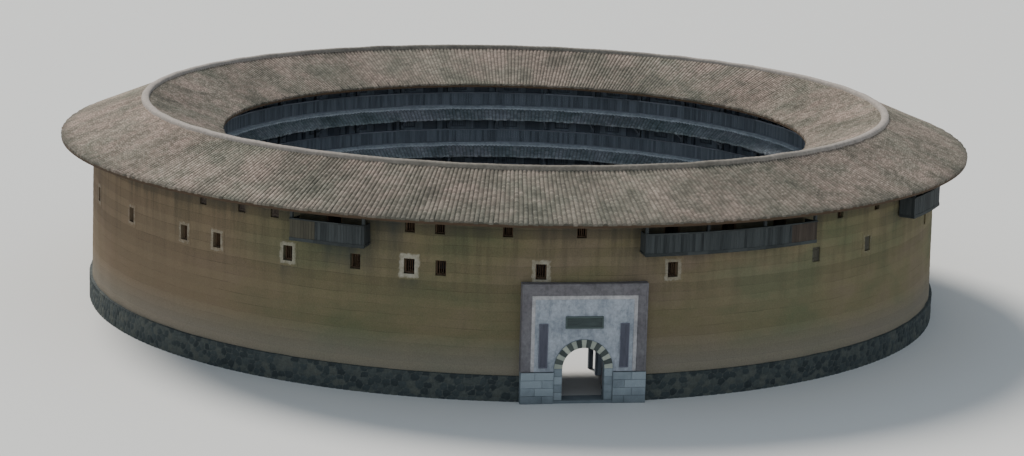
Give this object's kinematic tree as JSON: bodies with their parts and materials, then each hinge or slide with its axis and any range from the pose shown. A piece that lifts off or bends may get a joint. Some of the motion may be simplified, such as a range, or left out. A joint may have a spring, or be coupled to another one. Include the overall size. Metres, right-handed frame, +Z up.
{
  "type": "tulou roundhouse scale model",
  "caption": "Half-size round rammed-earth clan house: thick earth ring wall with a stone arch gate, tiled ridge roof, timber galleries round an open court.",
  "frame": {"origin": "centre of the courtyard on the ground, under the middle of the ring", "axes": "+Z up, the gate faces -Y, +X to the right of the gate seen from outside"},
  "size_m": [26.8744, 26.8744, 5.98],
  "materials": {
    "rammed_earth": "matt rammed earth with lift lines and dark rain streaks",
    "river_stone": "rough river boulders in mortar",
    "dressed_stone": "dressed granite blocks",
    "lime_plaster": "weathered white lime plaster",
    "border_plaster": "grey-lilac tinted lime plaster",
    "clay_tile": "unglazed grey-brown roof tiles",
    "ridge_lime": "weathered lime-bedded ridge tiles",
    "timber": "old dark unpainted fir",
    "dark_boards": "grey weathered boards",
    "gate_timber": "dark red-brown painted planks"
  },
  "bodies": {
    "house": {"stone_plinth_left": "river_stone", "stone_plinth_right": "river_stone", "earth_wall_front_left": "rammed_earth", "earth_wall_front_right": "rammed_earth", "earth_wall_back_left": "rammed_earth", "earth_wall_back_right": "rammed_earth", "wall_over_gate": "rammed_earth", "roof_outer_front_left": "clay_tile", "roof_outer_front_right": "clay_tile", "roof_outer_back_left": "clay_tile", "roof_outer_back_right": "clay_tile", "roof_inner_left": "clay_tile", "roof_inner_right": "clay_tile", "ridge_cap": "ridge_lime", "upper_floor_2": "timber", "upper_floor_3": "timber", "upper_floor_4": "timber", "gallery_posts_front_left": "timber", "gallery_posts_front_right": "timber", "gallery_posts_back_left": "timber", "gallery_posts_back_right": "timber", "balustrade_2": "timber", "balustrade_3": "timber", "balustrade_4": "timber", "pent_roof_2": "clay_tile", "pent_roof_3": "clay_tile", "pent_roof_4": "clay_tile", "room_front_1": "timber", "room_front_2": "timber", "room_front_3": "timber", "room_front_4": "timber", "gate_frame": "dressed_stone", "gate_threshold": "dressed_stone", "gate_dado_left": "dressed_stone", "gate_dado_right": "dressed_stone", "gate_surround": "lime_plaster", "gate_border": "border_plaster", "couplet_board_left": "dark_boards", "couplet_board_right": "dark_boards", "name_tablet": "dark_boards", "gate_lintel": "timber", "lookout_front_left": "dark_boards", "lookout_front_right": "dark_boards", "lookout_right": "dark_boards", "lookout_back": "dark_boards"},
    "left_gate_leaf": {"gate_leaf_left": "gate_timber"},
    "right_gate_leaf": {"gate_leaf_right": "gate_timber"}
  },
  "joints": [
    {"name": "left_gate_hinge", "type": "hinge", "parent": "house", "child": "left_gate_leaf", "pos_m": [-0.7, -12.38, 0], "axis": [0, 0, -1], "range_deg": [0, 90]},
    {"name": "right_gate_hinge", "type": "hinge", "parent": "house", "child": "right_gate_leaf", "pos_m": [0.7, -12.38, 0], "axis": [0, 0, 1], "range_deg": [0, 90]}
  ]
}
